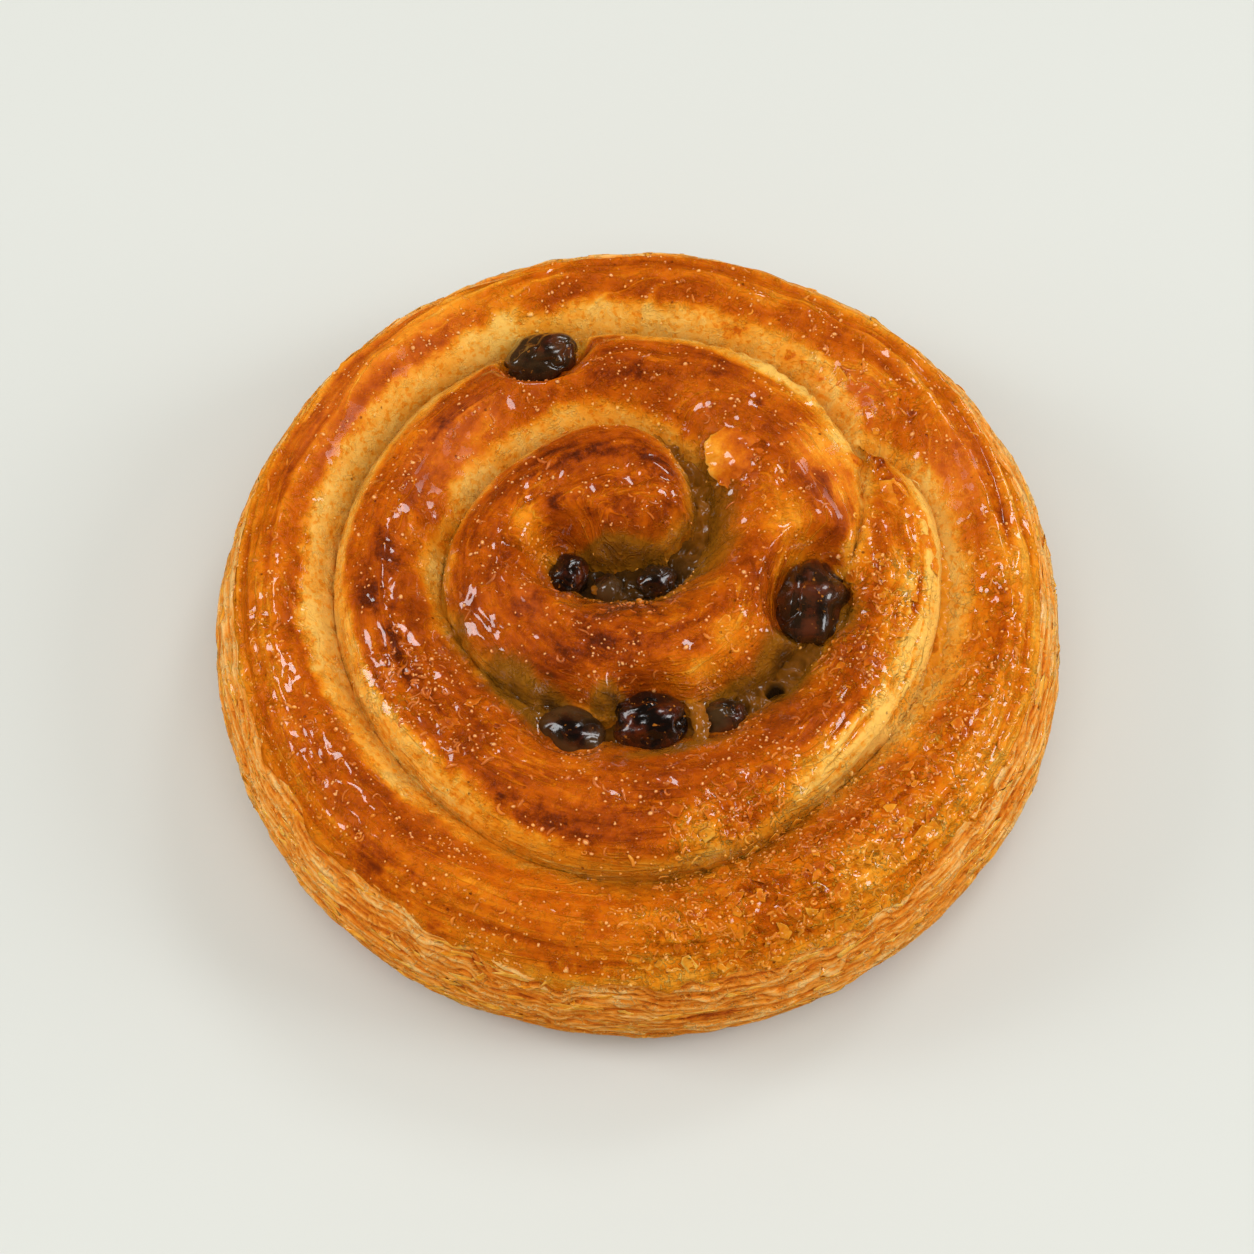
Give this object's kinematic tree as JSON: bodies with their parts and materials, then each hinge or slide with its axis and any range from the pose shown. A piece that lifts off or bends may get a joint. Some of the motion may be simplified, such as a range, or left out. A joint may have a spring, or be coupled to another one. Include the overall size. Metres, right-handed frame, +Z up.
{
  "type": "raisin swirl danish pastry",
  "caption": "Round baked danish: a spiral roll of glazed laminated dough with custard and raisins showing in the seam between its turns.",
  "frame": {"origin": "on the surface that the pastry stands on, under the middle of its outline", "axes": "+Z up, out of the top with the spiral; +X to the right and +Y away, as the picture shows the top"},
  "size_m": [0.1016, 0.1008, 0.0267],
  "materials": {
    "glazed_crust": "golden to red-brown baked crust, paler on the walls of the seam, under a thin clear sugar glaze",
    "custard": "set pastry custard, slightly see-through, wet and glossy",
    "raisin": "dark wrinkled raisin skin with a sticky glaze"
  },
  "bodies": {
    "root": {"dough_swirl": "glazed_crust", "custard_filling": "custard", "raisin_rim": "raisin", "raisin_side": "raisin", "raisin_front": "raisin", "raisin_front_left": "raisin", "raisin_front_right": "raisin", "raisin_eye_left": "raisin", "raisin_eye_middle": "raisin", "raisin_eye_right": "raisin"}
  },
  "joints": []
}
